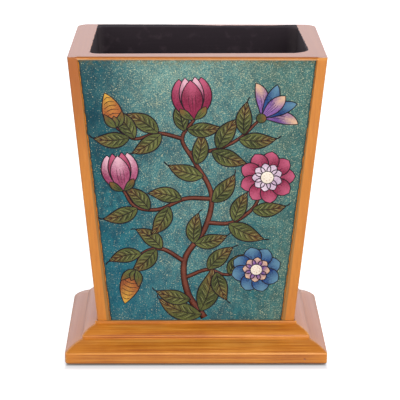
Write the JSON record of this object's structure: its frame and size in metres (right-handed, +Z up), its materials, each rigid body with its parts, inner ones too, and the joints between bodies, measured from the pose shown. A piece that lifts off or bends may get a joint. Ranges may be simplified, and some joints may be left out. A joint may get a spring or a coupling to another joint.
{
  "type": "pen holder",
  "caption": "Flared, open-topped desk pen holder: a painted wooden box with painted glass let into its front and back, on a stepped moulded base.",
  "frame": {"origin": "middle of the underside, on the surface that the holder stands on", "axes": "+Z up through the mouth; +X to the right along the front; the front faces -Y"},
  "size_m": [0.092, 0.057, 0.11],
  "materials": {
    "gold_painted_wood": "satin gold-bronze paint brushed along the grain, matt black inside the mouth",
    "black_painted_wood": "matt black paint",
    "bare_wood": "unpainted fibreboard",
    "painted_glass": "clear gloss glass, painted from behind in mottled teal with gold specks and flowers, so opaque",
    "felt": "thin dark felt",
    "steel": "plain steel"
  },
  "bodies": {
    "root": {"front_board": "gold_painted_wood", "back_board": "gold_painted_wood", "left_board": "gold_painted_wood", "right_board": "gold_painted_wood", "front_moulding": "gold_painted_wood", "back_moulding": "gold_painted_wood", "left_moulding": "gold_painted_wood", "right_moulding": "gold_painted_wood", "floor_board": "black_painted_wood", "base_board": "bare_wood", "front_glass": "painted_glass", "back_glass": "painted_glass", "base_felt": "felt", "left_base_screw": "steel", "right_base_screw": "steel", "left_front_board_pin_1": "steel", "left_front_board_pin_2": "steel", "left_back_board_pin_1": "steel", "left_back_board_pin_2": "steel", "right_front_board_pin_1": "steel", "right_front_board_pin_2": "steel", "right_back_board_pin_1": "steel", "right_back_board_pin_2": "steel", "front_left_mitre_pin": "steel", "front_right_mitre_pin": "steel", "back_left_mitre_pin": "steel", "back_right_mitre_pin": "steel"}
  },
  "joints": []
}
